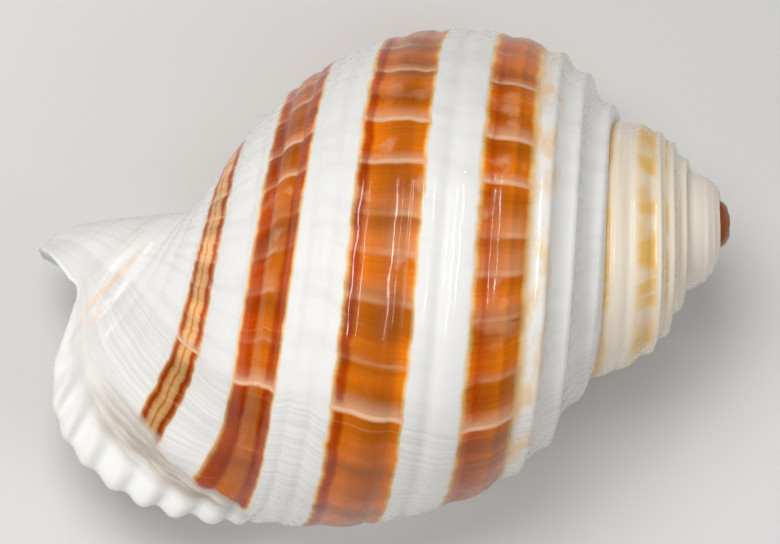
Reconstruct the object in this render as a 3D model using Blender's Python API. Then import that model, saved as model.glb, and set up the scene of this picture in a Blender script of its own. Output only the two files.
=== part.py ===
"""Tun shell (sea snail, family Tonnidae), one closed body.

A snail shell is one sheet that grows along a spiral.  The sheet is described
with two numbers: the CORD number n, counted across the whorl from the suture
(0) over the shoulder and belly to the tip of the columella (24), and the
GROWTH ANGLE t, counted along the spiral and ending at the lip.  Two outlines
of the last whorl, half a turn apart, give its shape; earlier whorls are the
same outline, smaller.  No modelling tool lofts such a self-attached spiral
sheet, so its faces are laid row by row; everything is in metres, +Z up.
"""

import math

import bmesh
import bpy
import numpy as np
from mathutils import Matrix, Vector

OBJECT_NAME = "tun_shell"
MM = 0.001
TURN = 2.0 * math.pi

# ---- driving dimensions (millimetres: distance from the apex, radius) --------------
# Crest line of each cord where the last whorl is half a turn old (angle 0).
HALF_TURN_OUTLINE = [
    (15.5, 16.4), (16.1, 19.0), (19.4, 23.8), (22.9, 27.1), (28.0, 29.5),
    (33.9, 31.2), (39.3, 31.8), (44.6, 31.8), (50.3, 30.9), (55.1, 29.6),
    (59.1, 28.0), (63.1, 25.9), (66.9, 23.4), (71.3, 19.7), (75.3, 15.0),
    (78.5, 10.5), (80.2, 8.1), (81.2, 6.9), (82.8, 6.2), (85.5, 5.9),
    (88.5, 5.8), (93.5, 5.6), (99.0, 5.2), (104.8, 3.6), (106.3, 0.0),
]
# The same cord lines half a turn later (angle pi), just behind the lip.
LIP_OUTLINE = [
    (22.8, 24.1), (24.7, 27.6), (29.7, 34.1), (34.7, 38.1), (41.1, 41.0),
    (49.5, 43.3), (56.0, 44.3), (61.6, 44.6), (69.4, 44.0), (73.9, 43.0),
    (77.2, 41.8), (80.3, 40.2), (83.1, 37.8), (86.7, 32.0), (90.8, 25.4),
    (94.5, 20.0), (97.7, 15.3), (100.2, 12.2), (103.0, 10.4), (110.3, 12.1),
    (114.2, 7.5), (121.4, 5.4), (124.4, 1.7), (121.4, 0.15), (118.0, 0.0),
]
# How far the lip is turned outward at its edge (along the axis, outward).
LIP_FLARE = [(0.1, 1.6)] * 8 + [
    (0.2, 1.1), (0.4, 0.8), (0.7, 1.2), (3.1, 2.5), (6.4, 3.9), (8.0, 8.5),
    (8.8, 12.7), (9.7, 14.8), (9.9, 15.5), (9.4, 13.8), (7.2, 9.6),
    (0.3, 0.5), (0.0, 0.0), (0.0, 0.0), (0.0, 0.0), (0.0, 0.0), (0.0, 0.0),
]
# Growth angle (degrees) where each cord line ends at the edge of the aperture.
LIP_ANGLE = [
    208, 208, 208, 208, 208, 207, 206, 204, 200, 194, 186, 178, 174,
    170, 167, 163, 159, 155, 150, 135, 122, 97, 75, 45, 20,
]
# Natural logarithm of whorl size, every half turn from the apex to angle 0.
WHORL_SIZE = [-4.6, -3.9, -3.3, -2.78, -2.3, -1.86, -1.42, -1.03, -0.66, -0.285, 0.0]
# How much nearer the apex each whorl sits than a plain enlargement would (mm).
WHORL_DROP = [-1.0, -1.2, -1.5, -1.8, -2.3, -3.0, -3.7, -4.0, -3.9, -3.4, 0.0]
APEX_AXIAL = -0.85
SPIRE_LEAN = 0.06
SUTURE_CORD = 5.5

# Depth of the groove after each cord (mm), from cord 0 to the front end.
GROOVE_DEPTH = [
    0.0, 1.2, 1.05, 0.6, 0.42, 0.4, 0.36, 0.36, 0.38, 0.38, 0.4, 0.42,
    0.42, 0.36, 0.3, 0.24, 0.2, 0.16, 0.1, 0.0, 0.0, 0.0, 0.0, 0.0,
]
# Growth angles (degrees) between which the cords fade in after the smooth first whorls.
RELIEF_FADE = (-1000.0, -330.0)
SCALLOP = 0.15
FLARE_BEND = 3.0
# Raised knobs on the lip where each cord ends: height (mm), place and width (degrees).
KNOB_HEIGHT = 0.7
KNOB_BEHIND_EDGE = 5.0
KNOB_WIDTH = 5.0
WALL = 1.8
WALL_AT_LIP = 2.6
# Share of a groove's depth that shows as a ridge inside.
INNER_SHARE = 0.6
COLUMELLA_RADIUS = 3.4

ROWS_PER_TURN = 30
SHELL_ROWS = 137
CHAMBER_ROWS = 42
FIRST_INNER_CORD = 1
LAST_INNER_CORD = 19
PARIETAL_CORD = 6.0

# Resting pose: aperture down, touching the table with lip edge, canal and belly.
REST_ROLL = math.radians(-85.85)
REST_PITCH = math.radians(-8.96)


def spline_through(rows):
    """Natural cubic spline through evenly spaced rows; returns f(x), x = row number."""
    y = np.asarray(rows, float)
    if y.ndim == 1:
        y = y[:, None]
    count = len(y)
    system = np.eye(count)
    bend = np.zeros_like(y)
    for i in range(1, count - 1):
        system[i, i - 1:i + 2] = [1.0, 4.0, 1.0]
        bend[i] = 6.0 * (y[i - 1] - 2.0 * y[i] + y[i + 1])
    m = np.linalg.solve(system, bend)

    def value(x):
        x = np.clip(np.asarray(x, float), 0.0, count - 1.0)
        i = np.minimum(x.astype(int), count - 2)
        b = (x - i)[..., None]
        a = 1.0 - b
        return a * y[i] + b * y[i + 1] + ((a**3 - a) * m[i] + (b**3 - b) * m[i + 1]) / 6.0

    return value


half_turn_at = spline_through(HALF_TURN_OUTLINE)
lip_outline_at = spline_through(LIP_OUTLINE)
flare_at = spline_through(LIP_FLARE)
size_at = spline_through(WHORL_SIZE)
drop_at = spline_through(WHORL_DROP)
LAST_CORD = len(HALF_TURN_OUTLINE) - 1
LIP_T = math.radians(LIP_ANGLE[0])
FIRST_T = LIP_T - SHELL_ROWS * TURN / ROWS_PER_TURN


def lip_angle(n):
    return np.interp(n, np.arange(LAST_CORD + 1), np.radians(LIP_ANGLE))


def ease(x):
    x = np.clip(x, 0.0, 1.0)
    return x * x * (3.0 - 2.0 * x)


def outline(n, angle):
    """Axial and radial position (mm) of cord line n where the growth angle is given."""
    old = half_turn_at(n)
    new = lip_outline_at(n)
    pace = np.interp(n, [8.0, 12.0], [1.0, 1.35])
    w = np.clip(angle / math.pi, 0.0, 1.3)
    w = np.where(w < 1.0, w**pace, 1.0 + (w - 1.0) * pace)[..., None]
    solid = old > 1e-6
    growth = np.maximum(np.where(solid, new, 1.0), 1e-3) / np.where(solid, old, 1.0)
    half_turns = np.clip(angle / math.pi, -10.0, 0.0) + 10.0
    p = np.where(solid, old * growth**w, 0.0) * np.exp(size_at(half_turns))
    lean = SPIRE_LEAN * (1.0 - ease((angle + math.pi) / math.pi))
    axial = p[..., 0] + drop_at(half_turns)[..., 0] + lean * p[..., 1] * np.cos(angle)
    return axial, p[..., 1]


def flare(n, angle):
    """Outward turn of the lip: nothing until the last stretch, then quickly more."""
    span = np.radians(np.interp(n, [0.0, 9.0, 12.0], [10.0, 12.0, 42.0]))
    x = np.clip((angle - (lip_angle(n) - span)) / span, 0.0, 1.0)
    edge = flare_at(n)
    wave = SCALLOP * np.cos(TURN * n) * np.interp(n, [9.0, 11.0, 17.5, 18.5], [0, 1, 1, 0])
    return edge[..., 0] * x**FLARE_BEND, (edge[..., 1] + wave) * x**FLARE_BEND


def smooth_sheet(n, t):
    """Points (mm) of the outer sheet without cords: x to the apex, z up at angle 0."""
    n, t = np.broadcast_arrays(np.asarray(n, float), np.asarray(t, float))
    lag = (lip_angle(n) - LIP_T) * np.clip((t - LIP_T + TURN) / TURN, 0.0, 1.0)
    angle = t + lag
    axial, radial = outline(n, angle)
    below_axial, below_radial = outline(np.full_like(n, SUTURE_CORD), angle - TURN)
    first_turn = t < FIRST_T + TURN - 1e-6
    below_axial = np.where(first_turn, APEX_AXIAL, below_axial)
    below_radial = np.where(first_turn, 0.0, below_radial)
    start_axial, start_radial = outline(np.zeros_like(n), angle)
    join = np.clip(1.0 - n, 0.0, 1.0)
    turn_axial, turn_radial = flare(n, angle)
    axial = axial + (below_axial - start_axial) * join + turn_axial
    radial = radial + (below_radial - start_radial) * join + turn_radial
    return np.stack([-axial, -radial * np.sin(angle), radial * np.cos(angle)], axis=-1)


def sheet_normal(n, t):
    d = 1e-3
    across = smooth_sheet(n + d, t) - smooth_sheet(np.maximum(n - d, 0.0), t)
    along = smooth_sheet(n, t) - smooth_sheet(n, t - d)
    normal = np.cross(across, along)
    length = np.linalg.norm(normal, axis=-1, keepdims=True)
    return normal / np.maximum(length, 1e-12)


def groove_depth(n):
    """Depth of the grooves between whole cord numbers, nothing on the crests."""
    deep = np.interp(n, np.arange(LAST_CORD) + 0.5, GROOVE_DEPTH)
    return deep * np.sin(math.pi * n) ** 2


def knob_height(n, t):
    """Rounded knobs just behind the edge of the lip, one at the end of each cord."""
    lag = (lip_angle(n) - LIP_T) * np.clip((t - LIP_T + TURN) / TURN, 0.0, 1.0)
    from_edge = np.degrees(lip_angle(n) - (t + lag))
    row = np.exp(-(((from_edge - KNOB_BEHIND_EDGE) / KNOB_WIDTH) ** 2))
    along = np.interp(n, [9.5, 12.0, 17.0, 18.5], [0.0, 1.0, 1.0, 0.0])
    return KNOB_HEIGHT * row * along * (0.6 + 0.4 * np.cos(TURN * n))


def whorl_size(t):
    return np.exp(size_at(np.clip(t / math.pi, -10.0, 0.0) + 10.0))[..., 0]


def sheet(n, t):
    """Outer sheet with its spiral cords (crest at every whole n) and lip knobs."""
    n, t = np.broadcast_arrays(np.asarray(n, float), np.asarray(t, float))
    fade = (np.degrees(t) - RELIEF_FADE[0]) / (RELIEF_FADE[1] - RELIEF_FADE[0])
    depth = groove_depth(n) * whorl_size(t) * ease(fade) - knob_height(n, t)
    return smooth_sheet(n, t) - sheet_normal(n, t) * depth[..., None]


def wall_thickness(n, t):
    near_lip = ease((t - LIP_T + math.radians(25.0)) / math.radians(25.0))
    return (WALL + (WALL_AT_LIP - WALL) * near_lip) * whorl_size(t) ** 0.6


def inner_sheet(n, t):
    """Chamber side of the wall; the grooves show as low ridges."""
    n, t = np.broadcast_arrays(np.asarray(n, float), np.asarray(t, float))
    depth = wall_thickness(n, t) + INNER_SHARE * groove_depth(n) * whorl_size(t)
    return smooth_sheet(n, t) - sheet_normal(n, t) * depth[..., None]


def columella_points(row, t):
    """Two points of the pillar's surface between the older base and the canal."""
    lag = (lip_angle(LAST_INNER_CORD) - LIP_T) * np.clip((t - LIP_T + TURN) / TURN, 0.0, 1.0)
    older = sheet(LAST_INNER_CORD, t - TURN)
    canal = inner_sheet(LAST_INNER_CORD, t)
    size = float(np.exp(size_at(np.clip(t / math.pi, -10.0, 0.0) + 10.0))[0])
    points = []
    for share in (0.35, 0.7):
        axial = older[0] + (canal[0] - older[0]) * share
        angle = t + lag * share
        radius = COLUMELLA_RADIUS * size
        points.append((axial, -radius * math.sin(angle), radius * math.cos(angle)))
    return points


class FaceBook:
    """Collects vertices and faces while the sheet is laid row by row."""

    def __init__(self):
        self.points = []
        self.faces = []
        self.index = {}

    def add(self, key, point):
        self.index[key] = len(self.points)
        self.points.append(Vector(point) * MM)
        return self.index[key]

    def face(self, corners):
        kept = [c for k, c in enumerate(corners) if c != corners[k - 1]]
        if len(set(kept)) >= 3:
            self.faces.append(kept)

    def ladder(self, left, right):
        """Triangles between two chains of vertices, always taking the shorter rung."""
        i = 0
        j = 0
        while i < len(left) - 1 or j < len(right) - 1:
            step_left = i < len(left) - 1
            if step_left and j < len(right) - 1:
                over = (self.points[left[i + 1]] - self.points[right[j]]).length
                under = (self.points[left[i]] - self.points[right[j + 1]]).length
                step_left = over < under
            if step_left:
                self.face([left[i], left[i + 1], right[j]])
                i += 1
            else:
                self.face([left[i], right[j + 1], right[j]])
                j += 1


def shell_faces():
    """Lays the whole shell: outer sheet, chamber wall, columella, lip edge."""
    book = FaceBook()
    cords = [0.5 * k for k in range(2 * LAST_INNER_CORD + 1)]
    cords += list(range(LAST_INNER_CORD + 1, LAST_CORD + 1))
    suture = cords.index(SUTURE_CORD)
    parietal = cords.index(PARIETAL_CORD)
    base_end = cords.index(LAST_INNER_CORD)
    turn = ROWS_PER_TURN
    lip_row = SHELL_ROWS
    body_start = lip_row - turn
    chamber_start = lip_row - CHAMBER_ROWS
    t_of = [FIRST_T + TURN * row / turn for row in range(lip_row + 1)]
    grid = sheet(np.array(cords)[None, :], np.array(t_of)[:, None])
    pole = book.add("pole", (-APEX_AXIAL, 0.0, 0.0))

    def outer(row, k):
        if k == 0:
            return pole if row < turn else outer(row - turn, suture)
        key = ("outer", row, k)
        return book.index[key] if key in book.index else book.add(key, grid[row, k])

    # outer sheet: the exposed strip of every whorl, all of the last whorl, and
    # the part of the whorl before it that lines the chamber
    for row in range(lip_row):
        for k in range(len(cords) - 1):
            exposed = k < suture or row >= body_start
            lining = parietal <= k < base_end and row >= chamber_start - turn
            if exposed or lining:
                book.face([outer(row, k), outer(row + 1, k), outer(row + 1, k + 1),
                           outer(row, k + 1)])
    book.face([pole] + [outer(0, k) for k in range(1, suture + 1)])

    # chamber wall: the inner face of the last whorl, then the columella
    inner_cords = list(range(FIRST_INNER_CORD, LAST_INNER_CORD + 1))
    rings = {}
    for row in range(chamber_start, lip_row + 1):
        t = t_of[row]
        wall = inner_sheet(np.array(inner_cords, float), np.full(len(inner_cords), t))
        ring = [book.add(("inner", row, n), p) for n, p in zip(inner_cords, wall)]
        pillar = [book.add(("pillar", row, k), p)
                  for k, p in enumerate(columella_points(row, t))]
        rings[row] = (ring, pillar)
    for row in range(chamber_start, lip_row):
        older = [outer(row - turn, parietal)] + rings[row][0] + rings[row][1][::-1]
        older.append(outer(row - turn, base_end))
        newer = [outer(row + 1 - turn, parietal)] + rings[row + 1][0]
        newer += rings[row + 1][1][::-1] + [outer(row + 1 - turn, base_end)]
        for k in range(len(older) - 1):
            book.face([older[k], older[k + 1], newer[k + 1], newer[k]])

    # blind end of the chamber
    ring, pillar = rings[chamber_start]
    lining = [outer(chamber_start - turn, k) for k in range(parietal, base_end + 1)]
    book.ladder(ring, lining + pillar)

    # edge of the aperture: corner at the suture, lip, end of the columella
    ring, pillar = rings[lip_row]
    first = cords.index(FIRST_INNER_CORD)
    corner = [outer(lip_row, k) for k in range(first + 1)] + [ring[0]]
    book.ladder(corner, [outer(body_start, k) for k in range(suture, parietal + 1)])
    book.ladder([outer(lip_row, k) for k in range(first, base_end + 1)], ring)
    tip = [ring[-1]] + [outer(lip_row, k) for k in range(base_end, len(cords))]
    tip += [outer(row, len(cords) - 1) for row in range(lip_row - 1, body_start - 1, -1)]
    pillar_side = pillar[::-1] + [outer(body_start, k) for k in range(base_end, len(cords))]
    book.ladder(tip, pillar_side)
    return book


def clear_scene():
    for thing in list(bpy.data.objects):
        bpy.data.objects.remove(thing, do_unlink=True)


def shell_material():
    material = bpy.data.materials.new("shell_porcelain")
    material.use_nodes = True
    shader = material.node_tree.nodes["Principled BSDF"]
    shader.inputs["Base Color"].default_value = (0.86, 0.82, 0.77, 1.0)
    shader.inputs["Roughness"].default_value = 0.28
    return material


def resting_turn():
    """Rotation from the growth axes to the pose in which the shell lies on a table."""
    return Matrix.Rotation(REST_PITCH, 4, "Y") @ Matrix.Rotation(REST_ROLL, 4, "X")


def make_shell(collection):
    book = shell_faces()
    mesh = bpy.data.meshes.new("shell")
    mesh.from_pydata([p[:] for p in book.points], [], book.faces)
    mesh.update()
    shell = bpy.data.objects.new("shell", mesh)
    collection.objects.link(shell)
    work = bmesh.new()
    work.from_mesh(mesh)
    bmesh.ops.triangulate(work, faces=work.faces[:])
    bmesh.ops.recalc_face_normals(work, faces=work.faces[:])
    work.to_mesh(mesh)
    work.free()
    mesh.transform(resting_turn())
    low = [min(v.co[k] for v in mesh.vertices) for k in range(3)]
    high = [max(v.co[k] for v in mesh.vertices) for k in range(3)]
    middle = Vector(((low[0] + high[0]) / 2, (low[1] + high[1]) / 2, low[2]))
    mesh.transform(Matrix.Translation(-middle))
    mesh.materials.append(shell_material())
    return shell


clear_scene()
collection = bpy.data.collections.new(OBJECT_NAME)
bpy.context.scene.collection.children.link(collection)
make_shell(collection)
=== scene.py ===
"""Banded tun shell, lying on its aperture on a pale floor, seen from above.

The shell is one sheet grown along a spiral.  Points on it have two numbers: the CORD
number n, counted across the whorl from the suture (0) over the shoulder and belly to
the tip of the columella (24), and the GROWTH ANGLE t, counted along the spiral and
ending at the lip.  The surface, its cords and all its colours are written in n and t.
"""

import math

import bmesh
import bpy
import numpy as np
from mathutils import Matrix, Vector


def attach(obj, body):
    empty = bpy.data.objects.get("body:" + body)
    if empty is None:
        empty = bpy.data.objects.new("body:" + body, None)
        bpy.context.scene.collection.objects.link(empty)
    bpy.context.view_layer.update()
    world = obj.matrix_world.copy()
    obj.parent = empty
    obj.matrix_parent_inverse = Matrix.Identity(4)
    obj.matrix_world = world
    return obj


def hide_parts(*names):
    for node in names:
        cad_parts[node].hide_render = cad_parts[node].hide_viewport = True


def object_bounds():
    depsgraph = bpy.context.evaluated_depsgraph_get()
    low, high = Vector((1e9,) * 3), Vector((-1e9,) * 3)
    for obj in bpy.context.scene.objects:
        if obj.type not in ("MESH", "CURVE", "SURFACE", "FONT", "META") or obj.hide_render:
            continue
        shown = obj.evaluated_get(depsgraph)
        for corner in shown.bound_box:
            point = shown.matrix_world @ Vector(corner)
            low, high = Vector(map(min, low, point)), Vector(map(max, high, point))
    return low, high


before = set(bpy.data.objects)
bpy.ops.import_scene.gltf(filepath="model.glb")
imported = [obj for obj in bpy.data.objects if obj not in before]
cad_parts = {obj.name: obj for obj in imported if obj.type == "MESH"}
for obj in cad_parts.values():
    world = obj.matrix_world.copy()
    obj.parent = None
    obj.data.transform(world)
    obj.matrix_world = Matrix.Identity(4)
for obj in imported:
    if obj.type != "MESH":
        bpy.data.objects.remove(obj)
CAD_BOX = [list(corner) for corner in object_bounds()]

MM = 0.001
TURN = 2.0 * math.pi
DEGREE = math.pi / 180.0

# ---- driving dimensions (millimetres: distance from the apex, radius) --------------
# Crest line of each cord where the last whorl is half a turn old (angle 0).
HALF_TURN_OUTLINE = [
    (15.5, 16.4), (16.1, 19.0), (19.4, 23.8), (22.9, 27.1), (28.0, 29.5),
    (33.9, 31.2), (39.3, 31.8), (44.6, 31.8), (50.3, 30.9), (55.1, 29.6),
    (59.1, 28.0), (63.1, 25.9), (66.9, 23.4), (71.3, 19.7), (75.3, 15.0),
    (78.5, 10.5), (80.2, 8.1), (81.2, 6.9), (82.8, 6.2), (85.5, 5.9),
    (88.5, 5.8), (93.5, 5.6), (99.0, 5.2), (104.8, 3.6), (106.3, 0.0),
]
# The same cord lines half a turn later (angle pi), just behind the lip.
LIP_OUTLINE = [
    (22.8, 24.1), (24.7, 27.6), (29.7, 34.1), (34.7, 38.1), (41.1, 41.0),
    (49.5, 43.3), (56.0, 44.3), (61.6, 44.6), (69.4, 44.0), (73.9, 43.0),
    (77.2, 41.8), (80.3, 40.2), (83.1, 37.8), (86.7, 32.0), (90.8, 25.4),
    (94.5, 20.0), (97.7, 15.3), (100.2, 12.2), (103.0, 10.4), (110.3, 12.1),
    (114.2, 7.5), (121.4, 5.4), (124.4, 1.7), (121.4, 0.15), (118.0, 0.0),
]
# How far the lip is turned outward at its edge (along the axis, outward).
LIP_FLARE = [(0.1, 1.6)] * 8 + [
    (0.2, 1.1), (0.4, 0.8), (0.7, 1.2), (3.1, 2.5), (6.4, 3.9), (8.0, 8.5),
    (8.8, 12.7), (9.7, 14.8), (9.9, 15.5), (9.4, 13.8), (7.2, 9.6),
    (0.3, 0.5), (0.0, 0.0), (0.0, 0.0), (0.0, 0.0), (0.0, 0.0), (0.0, 0.0),
]
# Growth angle (degrees) where each cord line ends at the edge of the aperture.
LIP_ANGLE = [
    208, 208, 208, 208, 208, 207, 206, 204, 200, 194, 186, 178, 174,
    170, 167, 163, 159, 155, 150, 135, 122, 97, 75, 45, 20,
]
# Natural logarithm of whorl size, every half turn from the apex to angle 0.
WHORL_SIZE = [-4.6, -3.9, -3.3, -2.78, -2.3, -1.86, -1.42, -1.03, -0.66, -0.285, 0.0]
# How much nearer the apex each whorl sits than a plain enlargement would (mm).
WHORL_DROP = [-1.0, -1.2, -1.5, -1.8, -2.3, -3.0, -3.7, -4.0, -3.9, -3.4, 0.0]
APEX_AXIAL = -0.85
SPIRE_LEAN = 0.06
SUTURE_CORD = 5.5

# Grooves between the cords: (cord number, half width in cords, depth in mm).
GROOVES = [
    (3.45, 0.22, 0.50), (4.5, 0.20, 0.42),
    (5.5, 0.20, 0.40), (6.5, 0.19, 0.36), (7.5, 0.19, 0.36), (8.5, 0.19, 0.38),
    (9.5, 0.19, 0.38), (10.5, 0.19, 0.40), (11.5, 0.20, 0.42), (12.45, 0.20, 0.42),
    (13.5, 0.20, 0.36), (14.5, 0.20, 0.30), (15.5, 0.22, 0.24), (16.5, 0.24, 0.2),
    (17.5, 0.24, 0.16),
]
# Broad valleys between the sharp shoulder cords: (cord, next cord, depth in mm).
VALLEYS = [(0.95, 2.0, 1.30), (2.0, 3.0, 1.05), (3.0, 4.0, 0.35)]
# Where the floor of a valley lies between its cords, and how flat it is.
VALLEY_SKEW = 0.85
VALLEY_FLATNESS = 2.2
# The lip's outward turn: scallop (mm), its cords, how late it bends, and how many
# degrees it takes at these cords.
SCALLOP = 0.15
SCALLOP_CORDS = (9.0, 11.0, 17.5, 18.5)
FLARE_BEND = 3.0
FLARE_CORDS = (0.0, 9.0, 12.0)
FLARE_DEGREES = (10.0, 12.0, 42.0)
# The base widens faster than the shoulder in the last half turn.
PACE_CORDS = (8.0, 12.0)
PACE = (1.0, 1.35)
LONGEST_GROWTH = 1.3
# Raised knobs on the lip where each cord ends: height (mm), place and width (degrees).
KNOB_HEIGHT = 1.3
KNOB_BEHIND_EDGE = 1.5
KNOB_WIDTH = 2.8
KNOB_CORDS = (9.5, 12.0, 17.0, 18.5)
KNOB_BASE = 0.6
# Channel behind the lip: depth (mm), place and width (degrees before the edge).
CHANNEL_DEPTH = 0.9
CHANNEL_BEHIND_EDGE = 7.5
CHANNEL_WIDTH = 2.6
# The cords flatten on the lip: from this angle and cord, over this much, by this share.
FLAT_LIP_DEGREES = (186.0, 12.0)
FLAT_LIP_CORDS = (10.5, 2.0)
FLAT_LIP_SHARE = 0.8
# Growth angles (degrees) between which the cords fade in after the smooth first whorls.
RELIEF_FADE = (-820.0, -330.0)
# Pale growth lines across the bands: (growth angle in degrees, half width, strength).
GROWTH_STOPS = [
    (141.0, 2.2, 1.0), (127.0, 1.0, 0.3), (112.0, 2.6, 0.4), (100.5, 3.4, 0.55),
    (91.0, 2.8, 0.6), (77.7, 1.1, 0.8), (65.0, 1.7, 0.95), (45.9, 1.1, 0.75),
    (31.0, 1.6, 0.55),
    (17.0, 1.8, 0.6), (2.0, 1.6, 0.5), (-19.0, 2.4, 0.7), (-41.0, 1.6, 0.6),
    (-66.0, 2.6, 0.6), (-97.0, 1.8, 0.7), (-124.0, 2.2, 0.6),
]
# Stops at least this strong run unbroken across the whorl.
UNBROKEN_STRENGTH = 0.75
STOP_DEPTH = 0.10
# Slow unevenness: height (mm), and its waves (per radian, per cord, start).
WOBBLE = 0.05
WOBBLE_WAVES = [(9.0, 0.7, 0.0), (17.0, -1.9, 1.3), (31.0, 2.7, 4.0)]
# Growth dents fade out towards this cord, over this many cords.
DENTS_END_CORD = 20.0
DENTS_FADE_CORDS = 4.0
# Growth lines lag on the base: (cord numbers) over which the lag grows, and the lag.
LAG_CORDS = (8.0, 14.5)
LAG_DEGREES = 28.0
# They run ahead on the upper belly, between these cords, by this share of their age.
LEAD_CORDS = (4.5, 6.5, 8.5, 10.5)
LEAD_SHARE = 0.043
WALL = 1.8
WALL_AT_LIP = 2.6
THICKENING_DEGREES = 25.0
WALL_SIZE_POWER = 0.6
# Share of a groove's depth that shows as a ridge inside.
INNER_SHARE = 0.6
COLUMELLA_RADIUS = 3.4

ROWS_PER_TURN = 360
SHELL_ROWS = 1644
CHAMBER_ROWS = 504
FIRST_INNER_CORD = 1.0
LAST_INNER_CORD = 19.0
PARIETAL_CORD = 6.0
STEPS_PER_CORD = 12
TIP_COLUMNS = 41
PILLAR_COLUMNS = 12
RIM_PULL = 0.02
RIM_STEPS = 8
EDGE_ROWS = 6

# Resting pose: aperture down, touching the table with the lip edge and the belly.
REST_ROLL = math.radians(-85.85)
REST_PITCH = math.radians(-8.96)


def spline_through(rows):
    """Natural cubic spline through evenly spaced rows; returns f(x), x = row number."""
    y = np.asarray(rows, float)
    if y.ndim == 1:
        y = y[:, None]
    count = len(y)
    system = np.eye(count)
    bend = np.zeros_like(y)
    for i in range(1, count - 1):
        system[i, i - 1:i + 2] = [1.0, 4.0, 1.0]
        bend[i] = 6.0 * (y[i - 1] - 2.0 * y[i] + y[i + 1])
    m = np.linalg.solve(system, bend)

    def value(x):
        x = np.clip(np.asarray(x, float), 0.0, count - 1.0)
        i = np.minimum(x.astype(int), count - 2)
        b = (x - i)[..., None]
        a = 1.0 - b
        return a * y[i] + b * y[i + 1] + ((a**3 - a) * m[i] + (b**3 - b) * m[i + 1]) / 6.0

    return value


half_turn_at = spline_through(HALF_TURN_OUTLINE)
lip_outline_at = spline_through(LIP_OUTLINE)
flare_at = spline_through(LIP_FLARE)
size_at = spline_through(WHORL_SIZE)
drop_at = spline_through(WHORL_DROP)
LAST_CORD = len(HALF_TURN_OUTLINE) - 1
LIP_T = math.radians(LIP_ANGLE[0])
FIRST_T = LIP_T - SHELL_ROWS * TURN / ROWS_PER_TURN


def lip_angle(n):
    return np.interp(n, np.arange(LAST_CORD + 1), np.radians(LIP_ANGLE))


def ease(x):
    x = np.clip(x, 0.0, 1.0)
    return x * x * (3.0 - 2.0 * x)


def outline(n, angle):
    """Axial and radial position (mm) of cord line n where the growth angle is given."""
    old = half_turn_at(n)
    new = lip_outline_at(n)
    pace = np.interp(n, PACE_CORDS, PACE)
    w = np.clip(angle / math.pi, 0.0, LONGEST_GROWTH)
    w = np.where(w < 1.0, w**pace, 1.0 + (w - 1.0) * pace)[..., None]
    solid = old > 1e-6
    growth = np.maximum(np.where(solid, new, 1.0), 1e-3) / np.where(solid, old, 1.0)
    half_turns = np.clip(angle / math.pi, -10.0, 0.0) + 10.0
    p = np.where(solid, old * growth**w, 0.0) * np.exp(size_at(half_turns))
    lean = SPIRE_LEAN * (1.0 - ease((angle + math.pi) / math.pi))
    axial = p[..., 0] + drop_at(half_turns)[..., 0] + lean * p[..., 1] * np.cos(angle)
    return axial, p[..., 1]


def flare(n, angle):
    """Outward turn of the lip: nothing until the last stretch, then quickly more."""
    span = np.radians(np.interp(n, FLARE_CORDS, FLARE_DEGREES))
    x = np.clip((angle - (lip_angle(n) - span)) / span, 0.0, 1.0)
    edge = flare_at(n)
    wave = SCALLOP * np.cos(TURN * n) * np.interp(n, SCALLOP_CORDS, [0, 1, 1, 0])
    return edge[..., 0] * x**FLARE_BEND, (edge[..., 1] + wave) * x**FLARE_BEND


def smooth_sheet(n, t):
    """Points (mm) of the outer sheet without cords: x to the apex, z up at angle 0."""
    n, t = np.broadcast_arrays(np.asarray(n, float), np.asarray(t, float))
    lag = (lip_angle(n) - LIP_T) * np.clip((t - LIP_T + TURN) / TURN, 0.0, 1.0)
    angle = t + lag
    axial, radial = outline(n, angle)
    below_axial, below_radial = outline(np.full_like(n, SUTURE_CORD), angle - TURN)
    first_turn = t < FIRST_T + TURN - 1e-6
    below_axial = np.where(first_turn, APEX_AXIAL, below_axial)
    below_radial = np.where(first_turn, 0.0, below_radial)
    start_axial, start_radial = outline(np.zeros_like(n), angle)
    join = np.clip(1.0 - n, 0.0, 1.0)
    turn_axial, turn_radial = flare(n, angle)
    axial = axial + (below_axial - start_axial) * join + turn_axial
    radial = radial + (below_radial - start_radial) * join + turn_radial
    return np.stack([-axial, -radial * np.sin(angle), radial * np.cos(angle)], axis=-1)


def sheet_normal(n, t):
    d = 1e-3
    across = smooth_sheet(n + d, t) - smooth_sheet(np.maximum(n - d, 0.0), t)
    along = smooth_sheet(n, t) - smooth_sheet(n, t - d)
    normal = np.cross(across, along)
    length = np.linalg.norm(normal, axis=-1, keepdims=True)
    return normal / np.maximum(length, 1e-12)


def groove_depth(n):
    depth = np.zeros_like(n)
    for middle, half_width, deep in GROOVES:
        depth = depth + deep * np.exp(-(((n - middle) / half_width) ** 2))
    for crest, next_crest, deep in VALLEYS:
        share = np.clip((n - crest) / (next_crest - crest), 0.0, 1.0) ** VALLEY_SKEW
        depth = depth + deep * (1.0 - np.abs(2.0 * share - 1.0) ** VALLEY_FLATNESS)
    return depth


def growth_depth(n, t):
    """Shallow dents where growth stopped, and the slow unevenness of a grown wall."""
    lag = LAG_DEGREES * ease((n - LAG_CORDS[0]) / (LAG_CORDS[1] - LAG_CORDS[0]))
    rise, top, end, fall = LEAD_CORDS
    lead = ease((n - rise) / (top - rise)) * ease((fall - n) / (fall - end))
    age = t / DEGREE * (1.0 + LEAD_SHARE * lead) - lag
    depth = np.zeros_like(age)
    for at, half_width, strength in GROWTH_STOPS:
        depth = depth + STOP_DEPTH * strength * np.exp(-(((age - at) / half_width) ** 2))
    for pace, across, start in WOBBLE_WAVES:
        depth = depth + WOBBLE / len(WOBBLE_WAVES) * np.sin(pace * t + across * n + start)
    return depth * np.clip(n, 0.0, 1.0) * ease((DENTS_END_CORD - n) / DENTS_FADE_CORDS)


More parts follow.
